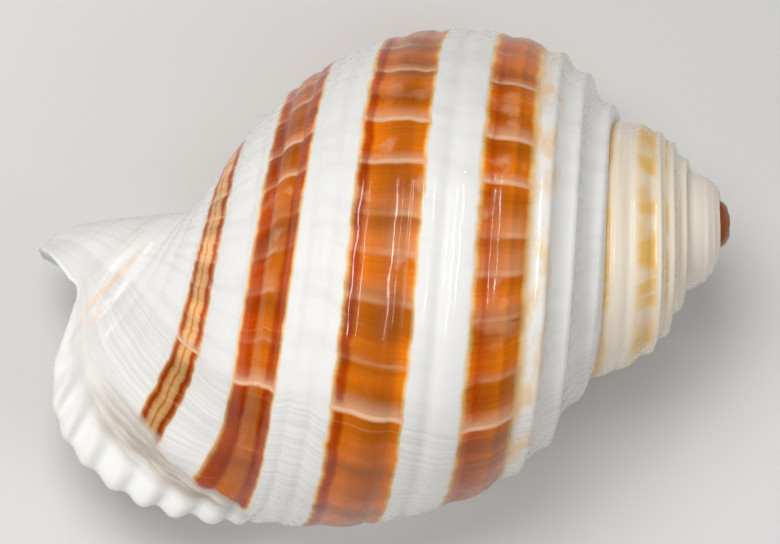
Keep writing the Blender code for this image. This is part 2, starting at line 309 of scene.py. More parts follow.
def knob_height(n, t):
    """Knobs behind the edge of the lip, one to a cord, less the channel behind them."""
    behind = (lip_angle(n) - LIP_T) * np.clip((t - LIP_T + TURN) / TURN, 0.0, 1.0)
    from_edge = (lip_angle(n) - (t + behind)) / DEGREE
    row = np.exp(-(((from_edge - KNOB_BEHIND_EDGE) / KNOB_WIDTH) ** 2))
    along = np.interp(n, KNOB_CORDS, [0.0, 1.0, 1.0, 0.0])
    channel = np.exp(-(((from_edge - CHANNEL_BEHIND_EDGE) / CHANNEL_WIDTH) ** 2))
    knobs = KNOB_HEIGHT * row * (KNOB_BASE + (1.0 - KNOB_BASE) * np.cos(TURN * n))
    return along * (knobs - CHANNEL_DEPTH * channel)


def sheet(n, t):
    """Outer sheet with its spiral cords, growth dents and lip knobs."""
    n, t = np.broadcast_arrays(np.asarray(n, float), np.asarray(t, float))
    size = np.exp(size_at(np.clip(t / math.pi, -10.0, 0.0) + 10.0))[..., 0]
    fade = (t / DEGREE - RELIEF_FADE[0]) / (RELIEF_FADE[1] - RELIEF_FADE[0])
    late = ease((t / DEGREE - FLAT_LIP_DEGREES[0]) / FLAT_LIP_DEGREES[1])
    low = ease((n - FLAT_LIP_CORDS[0]) / FLAT_LIP_CORDS[1])
    cords = groove_depth(n) * (1.0 - late * low * FLAT_LIP_SHARE)
    depth = (cords + growth_depth(n, t)) * size * ease(fade)
    depth = depth - knob_height(n, t)
    return smooth_sheet(n, t) - sheet_normal(n, t) * depth[..., None]


def wall_thickness(n, t):
    size = np.exp(size_at(np.clip(t / math.pi, -10.0, 0.0) + 10.0))[..., 0]
    span = math.radians(THICKENING_DEGREES)
    near_lip = ease((t - LIP_T + span) / span)
    return (WALL + (WALL_AT_LIP - WALL) * near_lip) * size**WALL_SIZE_POWER


def inner_sheet(n, t):
    n, t = np.broadcast_arrays(np.asarray(n, float), np.asarray(t, float))
    size = np.exp(size_at(np.clip(t / math.pi, -10.0, 0.0) + 10.0))[..., 0]
    depth = wall_thickness(n, t) + INNER_SHARE * groove_depth(n) * size
    return smooth_sheet(n, t) - sheet_normal(n, t) * depth[..., None]


def pillar_points(t_values, shares):
    """Surface of the columella from the canal (share 1) to the older base (share 0)."""
    lag = (lip_angle(LAST_INNER_CORD) - LIP_T) * np.clip((t_values - LIP_T + TURN) / TURN, 0, 1)
    older = sheet(LAST_INNER_CORD, t_values - TURN)
    canal = inner_sheet(LAST_INNER_CORD, t_values)
    size = np.exp(size_at(np.clip(t_values / math.pi, -10.0, 0.0) + 10.0))[:, 0]
    share = shares[None, :]
    axial = older[:, :1] + (canal[:, :1] - older[:, :1]) * share
    older_radius = np.hypot(older[:, 1], older[:, 2])[:, None]
    canal_radius = np.hypot(canal[:, 1], canal[:, 2])[:, None]
    ends = older_radius + (canal_radius - older_radius) * share
    middle = np.minimum(1.0, 4.0 * share * (1.0 - share))
    radius = ends * (1.0 - middle) + COLUMELLA_RADIUS * size[:, None] * middle
    angle = t_values[:, None] + lag[:, None] * share
    return np.stack([axial, -radius * np.sin(angle), radius * np.cos(angle)], axis=-1)


class Weave:
    """Vertices, faces and per-vertex numbers of the sheet, laid as grids of rows."""

    def __init__(self):
        self.blocks = []
        self.count = 0
        self.quads = []
        self.triangles = []

    def add_grid(self, points, cords, ages, inside):
        """Adds a grid of points (mm) with its cord numbers and growth angles."""
        rows, columns = points.shape[:2]
        numbers = np.zeros((rows, columns, 6))
        numbers[..., :3] = points
        numbers[..., 3] = cords
        numbers[..., 4] = ages
        numbers[..., 5] = inside
        self.blocks.append(numbers.reshape(-1, 6))
        first = self.count
        self.count += rows * columns
        return np.arange(first, self.count).reshape(rows, columns)

    def table(self):
        self.blocks = [np.concatenate(self.blocks)]
        return self.blocks[0]

    def skin(self, grid):
        """Quads over a grid of vertex numbers; a collapsed edge makes a triangle."""
        a, b = grid[:-1, :-1].ravel(), grid[1:, :-1].ravel()
        c, d = grid[1:, 1:].ravel(), grid[:-1, 1:].ravel()
        whole = (a != b) & (c != d)
        self.quads.append(np.stack([a, d, c, b], axis=1)[whole])
        at_pole = (a == b) & (c != d)
        self.triangles.append(np.stack([a, d, c], axis=1)[at_pole])

    def ladder(self, left, right):
        """Triangles between two chains of vertices, always by the shorter rung."""
        place = self.table()[:, :3]
        i, j = 0, 0
        rungs = []
        while i < len(left) - 1 or j < len(right) - 1:
            step_left = i < len(left) - 1
            if step_left and j < len(right) - 1:
                over = np.linalg.norm(place[left[i + 1]] - place[right[j]])
                under = np.linalg.norm(place[left[i]] - place[right[j + 1]])
                step_left = over < under
            if step_left:
                corners = (left[i], left[i + 1], right[j])
                i += 1
            else:
                corners = (left[i], right[j + 1], right[j])
                j += 1
            if len(set(corners)) == 3:
                rungs.append(corners)
        self.triangles.append(np.array(rungs))


def rim_points(cords):
    """Rounded edge of the lip: an arc from the outer to the inner face at each cord."""
    t = LIP_T - RIM_PULL
    outer = sheet(cords, t)
    inner = inner_sheet(cords, t)
    middle = (outer + inner) / 2.0
    half = (outer - inner) / 2.0
    ahead = smooth_sheet(cords, t) - smooth_sheet(cords, t - 1e-3)
    across = half / np.linalg.norm(half, axis=1, keepdims=True)
    ahead = ahead - across * np.sum(ahead * across, axis=1, keepdims=True)
    ahead = ahead / np.linalg.norm(ahead, axis=1, keepdims=True)
    reach = np.linalg.norm(half, axis=1, keepdims=True)
    arcs = []
    for step in range(1, RIM_STEPS):
        turn = math.pi * step / RIM_STEPS
        arcs.append(middle + half * math.cos(turn) + ahead * reach * math.sin(turn))
    return np.stack(arcs)


def lay_shell():
    """The whole shell: outer sheet, chamber wall, columella and rounded lip."""
    weave = Weave()
    body_cords = np.arange(int(LAST_INNER_CORD) * STEPS_PER_CORD + 1) / STEPS_PER_CORD
    tip_cords = np.linspace(LAST_INNER_CORD, LAST_CORD, TIP_COLUMNS)[1:]
    cords = np.concatenate([body_cords, tip_cords])
    suture = round(SUTURE_CORD * STEPS_PER_CORD)
    parietal = round(PARIETAL_CORD * STEPS_PER_CORD)
    base_end = len(body_cords) - 1
    first_inner = round(FIRST_INNER_CORD * STEPS_PER_CORD)
    turn = ROWS_PER_TURN
    lip_row = SHELL_ROWS
    body_start = lip_row - turn
    chamber_start = lip_row - CHAMBER_ROWS
    lining_start = chamber_start - turn
    t_of = FIRST_T + TURN * np.arange(lip_row + 1) / turn
    # the edge stands back by RIM_PULL, so the last rows close up towards it in order
    t_of[-EDGE_ROWS:] = np.linspace(t_of[-EDGE_ROWS], LIP_T - RIM_PULL, EDGE_ROWS)

    # outer sheet; each whorl's first column is the suture line of the whorl before
    ids = np.zeros((lip_row + 1, len(cords)), int)
    pole = weave.add_grid(np.array([[[-APEX_AXIAL, 0.0, 0.0]]]), 0.0, FIRST_T, 0.0)[0, 0]
    for rows, last in ((slice(0, lining_start), suture + 1),
                       (slice(lining_start, body_start), base_end + 1),
                       (slice(body_start, lip_row + 1), len(cords))):
        across, along = cords[None, 1:last], t_of[rows, None]
        ids[rows, 1:last] = weave.add_grid(sheet(across, along), across, along, 0.0)
    ids[:turn, 0] = pole
    ids[turn:, 0] = ids[:lip_row + 1 - turn, suture]
    weave.skin(ids[:, :suture + 1])
    weave.skin(ids[body_start:, suture:])
    weave.skin(ids[lining_start:body_start + 1, parietal:base_end + 1])
    first_edge = ids[0, 1:suture + 1]
    half_way = len(first_edge) // 2
    weave.ladder(first_edge[:half_way + 1], np.r_[pole, first_edge[:half_way - 1:-1]])

    # chamber wall: inner face of the last whorl, the columella, the older whorl's base
    inner_cords = cords[first_inner:base_end + 1]
    rows = slice(chamber_start, lip_row + 1)
    wall = inner_sheet(inner_cords[None, :], t_of[rows, None])
    wall_ids = weave.add_grid(wall, inner_cords[None, :], t_of[rows, None], 1.0)
    shares = np.linspace(1.0, 0.0, PILLAR_COLUMNS)[1:-1]
    pillar = pillar_points(t_of[rows], shares)
    pillar_ids = weave.add_grid(pillar, LAST_INNER_CORD, t_of[rows, None], 1.0)
    older = ids[lining_start:body_start + 1]
    ring = np.concatenate([older[:, parietal:parietal + 1], wall_ids, pillar_ids,
                           older[:, base_end:base_end + 1]], axis=1)
    weave.skin(ring[:, ::-1])
    weave.ladder(np.r_[wall_ids[0], pillar_ids[0]], older[0, parietal:base_end + 1])

    # edge of the aperture: rounded lip, corner at the suture, end of the columella
    rim = rim_points(inner_cords)
    rim_ids = weave.add_grid(rim, inner_cords[None, :], LIP_T, 0.5)
    edge = np.concatenate([ids[lip_row:, first_inner:base_end + 1], rim_ids, wall_ids[-1:]])
    weave.skin(edge)
    corner = np.r_[ids[lip_row, :first_inner + 1], rim_ids[:, 0], wall_ids[-1, 0]]
    weave.ladder(corner, ids[body_start, suture:parietal + 1])
    tip = np.r_[wall_ids[-1, -1], rim_ids[::-1, -1], ids[lip_row, base_end:]]
    tip = np.r_[tip, ids[lip_row - 1:body_start - 1:-1, -1]]
    weave.ladder(tip, np.r_[pillar_ids[-1], ids[body_start, base_end:]])
    return weave


def resting_turn():
    """Rotation from the growth axes to the pose in which the shell lies on a table."""
    return Matrix.Rotation(REST_PITCH, 4, "Y") @ Matrix.Rotation(REST_ROLL, 4, "X")


def rest_points(points):
    """Growth-axis points (mm) laid in the CAD's resting place and box, in metres."""
    turned = points @ np.array(resting_turn().to_3x3()).T * MM
    low, high = turned.min(axis=0), turned.max(axis=0)
    cad_low, cad_high = np.array(CAD_BOX[0]), np.array(CAD_BOX[1])
    shrink = min(1.0, float(np.min((cad_high - cad_low) / (high - low))))
    middle = np.array([(low[0] + high[0]) / 2, (low[1] + high[1]) / 2, low[2]])
    cad_middle = np.array([(cad_low[0] + cad_high[0]) / 2, (cad_low[1] + cad_high[1]) / 2,
                           cad_low[2]])
    return (turned - middle) * shrink + cad_middle, middle, cad_middle, shrink


def make_shell():
    weave = lay_shell()
    table = weave.table()
    points, middle, cad_middle, shrink = rest_points(table[:, :3])
    faces = [tuple(f) for block in weave.quads for f in block.tolist()]
    faces += [tuple(f) for block in weave.triangles for f in block.tolist()]
    mesh = bpy.data.meshes.new("banded_shell")
    mesh.from_pydata(points.tolist(), [], faces)
    for name, column in (("cord", 3), ("growth", 4), ("inside", 5)):
        layer = mesh.attributes.new(name, "FLOAT", "POINT")
        layer.data.foreach_set("value", table[:, column].astype(np.float32))
    work = bmesh.new()
    work.from_mesh(mesh)
    bmesh.ops.recalc_face_normals(work, faces=work.faces[:])
    work.to_mesh(mesh)
    work.free()
    mesh.shade_smooth()
    shell = bpy.data.objects.new("banded_shell", mesh)
    bpy.context.scene.collection.objects.link(shell)
    shell.data.materials.append(shell_material())
    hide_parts("shell")
    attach(shell, "root")
    return middle, cad_middle, shrink


# ---- colour ---------------------------------------------------------------------

class Nodes:
    """Short names for the shader nodes the shell's pattern is made of."""

    def __init__(self, material):
        material.use_nodes = True
        self.tree = material.node_tree
        self.shader = self.tree.nodes["Principled BSDF"]

    def new(self, kind, **values):
        node = self.tree.nodes.new(kind)
        for key, value in values.items():
            setattr(node, key, value)
        return node

    def plug(self, value, socket):
        if hasattr(value, "is_output"):
            self.tree.links.new(value, socket)
        else:
            socket.default_value = value

    def attribute(self, name):
        return self.new("ShaderNodeAttribute", attribute_name=name).outputs["Fac"]

    def math(self, operation, a, b=0.0, c=0.0, clamp=False):
        node = self.new("ShaderNodeMath", operation=operation, use_clamp=clamp)
        for value, socket in zip((a, b, c), node.inputs):
            self.plug(value, socket)
        return node.outputs[0]

    def ramp_range(self, value, low, high, to_low=0.0, to_high=1.0):
        node = self.new("ShaderNodeMapRange", interpolation_type="SMOOTHSTEP")
        for item, socket in zip((value, low, high, to_low, to_high), node.inputs):
            self.plug(item, socket)
        return node.outputs[0]

    def noise(self, x, y, x_scale, y_scale, detail=2.0, seed=0.0):
        place = self.new("ShaderNodeCombineXYZ")
        self.plug(self.math("MULTIPLY", x, x_scale), place.inputs[0])
        self.plug(self.math("MULTIPLY", y, y_scale), place.inputs[1])
        self.plug(seed, place.inputs[2])
        node = self.new("ShaderNodeTexNoise", noise_dimensions="3D")
        self.plug(place.outputs[0], node.inputs["Vector"])
        node.inputs["Scale"].default_value = 1.0
        node.inputs["Detail"].default_value = detail
        return node.outputs["Fac"]

    def pattern(self, name, cord, growth):
        """Noise from the PATTERNS table, spread over the range given there."""
        cord_scale, growth_scale, detail, seed, low, high, least, most = PATTERNS[name]
        value = self.noise(cord, growth, cord_scale, growth_scale, detail, seed)
        return self.ramp_range(value, low, high, least, most)

    def uneven(self, name, cord, growth):
        """Noise from the UNEVENNESS table, centred on nothing."""
        return self.math("SUBTRACT", self.noise(cord, growth, *UNEVENNESS[name]), 0.5)

    def product(self, *values):
        result = values[0]
        for value in values[1:]:
            result = self.math("MULTIPLY", result, value)
        return result

    def rest_of(self, value):
        return self.math("SUBTRACT", 1.0, value)

    def mix(self, factor, a, b, blend="MIX"):
        node = self.new("ShaderNodeMix", data_type="RGBA", blend_type=blend)
        self.plug(factor, node.inputs["Factor"])
        for value, name in ((a, "A"), (b, "B")):
            socket = [s for s in node.inputs if s.name == name and s.type == "RGBA"][0]
            self.plug(value if hasattr(value, "is_output") else (*value, 1.0), socket)
        return [s for s in node.outputs if s.type == "RGBA"][0]

    def colours_along(self, value, stops):
        """Colour ramp with stops at plain values; stops is [(value, colour), ...]."""
        low, high = stops[0][0], stops[-1][0]
        share = self.math("DIVIDE", self.math("SUBTRACT", value, low), high - low)
        node = self.new("ShaderNodeValToRGB")
        node.color_ramp.interpolation = "LINEAR"
        points = node.color_ramp.elements
        points[0].position = 0.0
        points[1].position = 1.0
        points[0].color = (*stops[0][1], 1.0)
        points[1].color = (*stops[-1][1], 1.0)
        for at, colour in stops[1:-1]:
            points.new((at - low) / (high - low)).color = (*colour, 1.0)
        self.plug(share, node.inputs["Fac"])
        return node.outputs["Color"]


WHITE = (0.86, 0.85, 0.82)
CREAM = (0.88, 0.78, 0.64)
PALE_CREAM = (0.86, 0.78, 0.68)
FRINGE = (0.86, 0.50, 0.14)
ORANGE = (0.70, 0.165, 0.003)
AMBER = (0.54, 0.125, 0.005)
RUST = (0.50, 0.072, 0.001)
DARK_RUST = (0.40, 0.045, 0.0005)
BROWN = (0.47, 0.105, 0.004)
PALE_PINK = (0.84, 0.50, 0.30)
PEACH = (0.82, 0.44, 0.16)
OCHRE = (0.86, 0.50, 0.10)
APEX_BROWN = (0.33, 0.10, 0.035)
SHADED_WHITE = (0.70, 0.67, 0.645)
NECK_STREAK = (0.88, 0.55, 0.30)
# Painted shade: brownish grey darkening of the channel behind the lip.
CHANNEL_SHADE = (0.44, 0.37, 0.30)
SPIRE_LINE = (0.84, 0.79, 0.70)
SPIRE_THREAD = (0.70, 0.55, 0.33)
GLAZE = (0.86, 0.80, 0.72)

# Colours across the last whorl, by cord number: two bands in each list.
UPPER_BANDS = [
    (0.0, WHITE), (3.32, WHITE), (3.55, FRINGE), (3.66, ORANGE), (3.95, AMBER),
    (4.05, ORANGE), (4.25, AMBER), (4.5, RUST), (4.64, ORANGE), (4.72, FRINGE),
    (4.82, WHITE), (6.12, WHITE), (6.2, FRINGE), (6.3, ORANGE), (6.6, AMBER),
    (6.8, BROWN), (7.05, BROWN), (7.25, AMBER), (7.58, ORANGE), (7.68, DARK_RUST),
    (7.82, RUST), (7.9, FRINGE), (7.98, WHITE), (9.0, WHITE),
]
LOWER_BANDS = [
    (9.0, WHITE), (9.85, WHITE), (9.95, FRINGE), (10.05, RUST), (10.4, DARK_RUST),
    (10.55, AMBER), (11.25, AMBER), (11.4, DARK_RUST), (11.85, RUST), (11.96, FRINGE),
    (12.06, WHITE), (13.42, WHITE), (13.48, FRINGE), (13.53, RUST), (13.64, DARK_RUST),
    (13.70, PEACH), (13.83, PEACH), (13.87, AMBER), (13.91, PEACH), (14.02, PEACH),
    (14.07, DARK_RUST), (14.19, RUST), (14.25, FRINGE), (14.31, WHITE), (24.0, WHITE),
]
SPIRE_COLOURS = [
    (0.0, CREAM), (2.2, CREAM), (2.4, OCHRE), (2.6, CREAM), (3.1, CREAM), (3.35, OCHRE),
    (4.0, OCHRE), (4.3, CREAM), (5.1, CREAM), (5.45, OCHRE), (6.0, CREAM),
]

# The two colour lists meet at this cord.
LIST_JOIN_CORD = 9.0
# Degrees by which growth lines wander, and cords by which band edges do.
WANDER_DEGREES = 5.0
ROUGH_EDGE_CORDS = 0.11
SLOW_EDGE_CORDS = 0.16
SPIRE_EDGE_CORDS = 0.14
# The third band shifts by these many cords between these growth angles.
DRIFT_AGES = (40.0, 160.0)
DRIFT_CORDS = (0.10, -0.25)
DRIFT_RISE = (9.0, 10.0)
DRIFT_FALL = (12.5, 13.2)
# A colour is pigment where it has little blue, and a dark edge where little green.
PIGMENT_BLUE = (0.55, 0.15)
DARK_EDGE_GREEN = (0.05, 0.12)
# The newest stretch, after the strongest growth stop: where it is, and how much duller.
MAIN_STOP = GROWTH_STOPS[0][0]
NEWEST_AGES = (139.0, 143.0)
NEWEST_DULLER = 0.16
# Growth stops: how far the paleness fades back, how strong it is, where it restarts.
LINE_CORE = 0.25
LINE_EDGE = 0.9
LINE_EDGE_GROWTH = 0.2
FADE_REACH = 3.0
FADE_STRENGTH = 0.62
RESTART_DEGREES = -0.6
# Dark edges hold their colour through weaker stops: degrees from the main one, share.
HOLD_DEGREES = (1.0, 3.0)
HOLD_SHARE = 0.6
# Milky patches are fewer on the oldest and newest stretches: angles, shares.
MILK_RISE = (30.0, 75.0, 0.25, 1.0)
MILK_FALL = (100.0, 130.0, 1.0, 0.15)
NEWEST_GREY = 0.75
# Yellow flush under the shoulder, and streaks on the neck: cords where they come and go.
FLUSH_RISE = (2.2, 3.2)
FLUSH_FALL = (3.4, 3.7, 1.0, 0.0)
NECK_RISE = (16.6, 17.6)
NECK_FALL = (21.5, 20.0)
# Bands end at these growth angles on these cords; the edge of the end is this uneven.
BAND_END = (12.0, 14.5, 199.5, 197.0)
BAND_END_ROUGH = 4.0
BAND_END_SOFT = (-1.5, 1.5)
# Painted shade in the channel behind the lip: degrees past the band ends, growth angles and
# cords.
CHANNEL_SHADE_START = (-2.0, 1.5)
CHANNEL_SHADE_STOP = (201.5, 204.5, 1.0, 0.0)
CHANNEL_SHADE_RISE = (9.0, 11.5)
CHANNEL_SHADE_FALL = (14.0, 16.5, 1.0, 0.25)
# The spire: growth angles where its colours take over, grow strong and begin.
ON_SPIRE = (-175.0, -130.0, 1.0, 0.0)
BLOTCHES_GROW = (-500.0, -400.0, 0.12, 1.0)
FIRST_WHORLS = (-470.0, -400.0, 0.85, 0.0)
AT_APEX = (-925.0, -880.0, 1.0, 0.0)
INSIDE_GLAZE = 0.72
# Fine relief: heights of threads and scratches, where it grows, size of the bump.
THREAD_HEIGHT = 0.7
SCRATCH_HEIGHT = 0.5
RELIEF_GROWS = (-400.0, 90.0, 0.0, 1.0)
BUMP_DISTANCE = 0.00006
BUMP_STRENGTH = {"Normal": 0.10, "Coat Normal": 0.24}
# The thick lip is chalky, the rest is glazed: growth angles, coat weights.
COAT = (188.0, 198.0, 0.45, 0.06)
COAT_ROUGHNESS = 0.06
SPECULAR_LEVEL = 0.10
SUBSURFACE = 0.03
SUBSURFACE_REACH = (0.004, 0.0025, 0.0015)

# Noise centred on nothing: (scale per cord, scale per degree, detail, seed).
UNEVENNESS = {
    "wander": (0.35, 0.02, 2.0, 0.0),
    "rough edge": (1.2, 0.30, 4.0, 4.0),
    "slow edge": (0.5, 0.12, 1.0, 14.0),
}
# Noise used as a height: (scale per cord, scale per degree, detail, seed).
THREADS = (0.3, 1.3, 2.0, 7.0)
SCRATCHES = (16.0, 0.04, 2.0, 8.0)
# Noise spread over a range: (scale per cord, scale per degree, detail, seed,
# noise where the range starts, noise where it ends, value there, value there).
PATTERNS = {
    "tone blocks": (0.2, 0.10, 1.0, 9.0, 0.30, 0.70, 0.74, 1.26),
    "tone streaks": (4.0, 0.02, 2.0, 2.0, 0.3, 0.7, 0.94, 1.05),
    "tone hatching": (0.6, 1.1, 3.0, 11.0, 0.3, 0.7, 0.92, 1.05),
    "broken lines": (0.9, 0.02, 1.0, 21.0, 0.36, 0.60, 0.3, 1.0),
    "fine lines": (0.12, 0.5, 3.0, 6.0, 0.60, 0.75, 0.0, 0.35),
    "milk": (1.1, 0.10, 3.0, 12.0, 0.55, 0.70, 0.0, 0.42),
    "grey threads": (0.2, 0.9, 3.0, 7.0, 0.35, 0.65, 0.25, 1.0),
    "older grey": (0.3, 0.14, 2.0, 15.0, 0.45, 0.75, 0.0, 0.35),
    "yellow flush": (2.2, 0.1, 3.0, 16.0, 0.42, 0.68, 0.05, 0.6),
    "neck streaks": (2.6, 0.008, 2.0, 17.0, 0.52, 0.70, 0.0, 0.5),
    # patchiness of the painted shade in the channel behind the lip
    "channel_shade": (0.7, 0.8, 3.0, 20.0, 0.3, 0.65, 0.45, 1.0),
    "spire blotches": (0.5, 0.06, 1.0, 3.0, 0.34, 0.62, 0.25, 0.95),
    "spire lines": (0.1, 0.16, 1.0, 18.0, 0.60, 0.70, 0.0, 0.5),
    "spire threads": (3.0, 0.01, 1.0, 19.0, 0.45, 0.7, 0.0, 0.35),
    "roughness": (6.0, 0.3, 2.0, 5.0, 0.3, 0.7, 0.24, 0.36),
}


class Place:
    """Where a point is on the shell, as values that the colours are made from."""

    def __init__(self, n):
        self.cord = n.attribute("cord")
        self.age = n.math("MULTIPLY", n.attribute("growth"), 1.0 / DEGREE)
        self.inside = n.attribute("inside")
        self.rough_edge = n.uneven("rough edge", self.cord, self.age)
        self.line_age = growth_line_age(n, self.cord, self.age)
        self.newest = n.ramp_range(self.line_age, *NEWEST_AGES)
        ragged = n.product(self.rough_edge, BAND_END_ROUGH)
        band_end = n.ramp_range(self.cord, *BAND_END)
        self.past_end = n.math("SUBTRACT", n.math("ADD", self.age, ragged), band_end)


def growth_line_age(n, cord, age):
    """Growth angle (degrees) of the growth line through a point, as in growth_depth."""
    lag = n.ramp_range(cord, LAG_CORDS[0], LAG_CORDS[1], 0.0, LAG_DEGREES)
    wander = n.product(n.uneven("wander", cord, age), WANDER_DEGREES)
    rise, top, end, fall = LEAD_CORDS
    lead = n.product(n.ramp_range(cord, rise, top), n.ramp_range(cord, end, fall, 1.0, 0.0))
    lead = n.product(lead, LEAD_SHARE, age)
    line_age = n.math("ADD", n.math("ADD", age, lead), wander)
    return n.math("SUBTRACT", line_age, lag)


def band_colours(n, at):
    """Band and ground colours, how far they are pigment, and where the dark edges are."""
    jitter = n.math("ADD", n.product(at.rough_edge, ROUGH_EDGE_CORDS),
                    n.product(n.uneven("slow edge", at.cord, at.age), SLOW_EDGE_CORDS))
    drift = n.product(n.ramp_range(at.age, *DRIFT_AGES, *DRIFT_CORDS),
                      n.ramp_range(at.cord, *DRIFT_RISE),
                      n.ramp_range(at.cord, *DRIFT_FALL, 1.0, 0.0))
    across = n.math("ADD", at.cord, n.math("ADD", jitter, drift))
    bands = n.mix(n.math("GREATER_THAN", at.cord, LIST_JOIN_CORD),
                  n.colours_along(across, UPPER_BANDS), n.colours_along(across, LOWER_BANDS))
    channels = n.new("ShaderNodeSeparateColor")
    n.plug(bands, channels.inputs["Color"])
    pigment = n.ramp_range(channels.outputs["Blue"], *PIGMENT_BLUE, 0.0, 1.0)
    dark_edge = n.ramp_range(channels.outputs["Green"], *DARK_EDGE_GREEN, 1.0, 0.0)
    return bands, pigment, dark_edge


def add_tone(n, at, colour, pigment):
    """Pigment varies in blocks between growth stops, in streaks and in hatching."""
    tone = n.product(n.pattern("tone blocks", at.cord, at.line_age),
                     n.pattern("tone streaks", at.cord, at.age),
                     n.pattern("tone hatching", at.cord, at.line_age),
                     n.rest_of(n.product(at.newest, NEWEST_DULLER)))
    toned = n.new("ShaderNodeHueSaturation")
    n.plug(colour, toned.inputs["Color"])
    n.plug(tone, toned.inputs["Value"])
    return n.mix(pigment, colour, toned.outputs["Color"])


def one_stop(n, line_age, stop_age, half_width, strength):
    """Pigment pales towards a growth stop, ends in a pale line and restarts at once."""
    before = n.math("SUBTRACT", stop_age, line_age)
    line = n.ramp_range(n.math("ABSOLUTE", before), LINE_CORE,
                        LINE_EDGE + LINE_EDGE_GROWTH * half_width, strength, 0.0)
    fading = n.ramp_range(before, 0.0, FADE_REACH * half_width, FADE_STRENGTH * strength, 0.0)
    restart = n.ramp_range(before, RESTART_DEGREES, 0.0)
    return n.math("MAXIMUM", line, n.product(fading, restart))


def paleness(n, at, dark_edge):
    """Pale lines where growth stopped, fine lines, and milky patches between them."""
    stops = 0.0
    broken = n.pattern("broken lines", at.cord, at.line_age)
    for stop_age, half_width, strength in GROWTH_STOPS:
        stop = one_stop(n, at.line_age, stop_age, half_width, strength)
        if strength < UNBROKEN_STRENGTH:
            stop = n.product(stop, broken)
        stops = n.math("MAXIMUM", stops, stop)
    stops = n.math("MAXIMUM", stops, n.pattern("fine lines", at.cord, at.line_age))
    milk = n.product(n.pattern("milk", at.cord, at.line_age),
                     n.ramp_range(at.age, *MILK_FALL), n.ramp_range(at.age, *MILK_RISE))
    stops = n.math("MAXIMUM", stops, milk)
    from_main = n.math("ABSOLUTE", n.math("SUBTRACT", at.line_age, MAIN_STOP))
    held = n.product(dark_edge, n.ramp_range(from_main, *HOLD_DEGREES, 0.0, 1.0), HOLD_SHARE)
    return n.product(stops, n.rest_of(held))


def shade_ground(n, at, colour, pigment):
    """White ground: faint older shades, and greyer on the newest stretch."""
    threads = n.pattern("grey threads", at.cord, at.line_age)
    grey = n.math("MAXIMUM", n.product(at.newest, threads, NEWEST_GREY),
                  n.pattern("older grey", at.cord, at.line_age))
    return n.mix(n.product(grey, n.rest_of(pigment)), colour, SHADED_WHITE)


def add_flushes(n, at, colour):
    """Yellow flush under the shoulder, and faint orange streaks on the neck's folds."""
    flush = n.product(n.ramp_range(at.cord, *FLUSH_RISE), n.ramp_range(at.cord, *FLUSH_FALL),
                      n.pattern("yellow flush", at.cord, at.age))
    colour = n.mix(flush, colour, FRINGE)
    streaks = n.product(n.ramp_range(at.cord, *NECK_RISE), n.ramp_range(at.cord, *NECK_FALL),
                        n.pattern("neck streaks", at.cord, at.age))
    return n.mix(streaks, colour, NECK_STREAK)


def finish_lip(n, at, colour):
    """Bands end a little before the lip, and painted shade, a patchy brownish grey, fills the
    channel.
    """
    colour = n.mix(n.ramp_range(at.past_end, *BAND_END_SOFT), colour, WHITE)
    # painted shade darkens the channel behind the lip
    channel_shade = n.product(n.ramp_range(at.past_end, *CHANNEL_SHADE_START), n.ramp_range(at.age, *CHANNEL_SHADE_STOP),
                      n.ramp_range(at.cord, *CHANNEL_SHADE_RISE), n.ramp_range(at.cord, *CHANNEL_SHADE_FALL),
                      n.pattern("channel_shade", at.cord, at.age))
    return n.mix(channel_shade, colour, CHANNEL_SHADE)


def spire_colour(n, at):
    """Cream with ochre blotches in rows, crossed by pale lines; paler first whorls."""
    across = n.math("ADD", at.cord, n.product(at.rough_edge, SPIRE_EDGE_CORDS))
    blotch = n.product(n.pattern("spire blotches", at.cord, at.age),
                       n.ramp_range(at.age, *BLOTCHES_GROW))
    spire = n.mix(blotch, CREAM, n.colours_along(across, SPIRE_COLOURS))
    spire = n.mix(n.pattern("spire lines", at.cord, at.line_age), spire, SPIRE_LINE)
    spire = n.mix(n.pattern("spire threads", at.cord, at.age), spire, SPIRE_THREAD)
    return n.mix(n.ramp_range(at.age, *FIRST_WHORLS), spire, PALE_CREAM)


def shell_colour(n, at):
    bands, pigment, dark_edge = band_colours(n, at)
    colour = add_tone(n, at, bands, pigment)
    colour = n.mix(n.product(paleness(n, at, dark_edge), pigment), colour, PALE_PINK)
    colour = shade_ground(n, at, colour, pigment)
    colour = add_flushes(n, at, colour)
    colour = finish_lip(n, at, colour)
    colour = n.mix(n.ramp_range(at.age, *ON_SPIRE), colour, spire_colour(n, at))
    colour = n.mix(n.ramp_range(at.age, *AT_APEX), colour, APEX_BROWN)
    # inside is a pale glaze with the bands showing faintly through
    return n.mix(at.inside, colour, n.mix(INSIDE_GLAZE, colour, GLAZE))


def add_relief(n, at):
    """Fine growth threads across and spiral scratches along, stronger in the glaze."""
    threads = n.product(n.noise(at.cord, at.line_age, *THREADS), THREAD_HEIGHT)
    scratches = n.product(n.noise(at.cord, at.age, *SCRATCHES), SCRATCH_HEIGHT)
    relief = n.product(n.math("ADD", threads, scratches), n.ramp_range(at.age, *RELIEF_GROWS))
    for socket, strength in BUMP_STRENGTH.items():
        bump = n.new("ShaderNodeBump")
        bump.inputs["Strength"].default_value = strength
        bump.inputs["Distance"].default_value = BUMP_DISTANCE
        n.plug(relief, bump.inputs["Height"])
        n.plug(bump.outputs["Normal"], n.shader.inputs[socket])


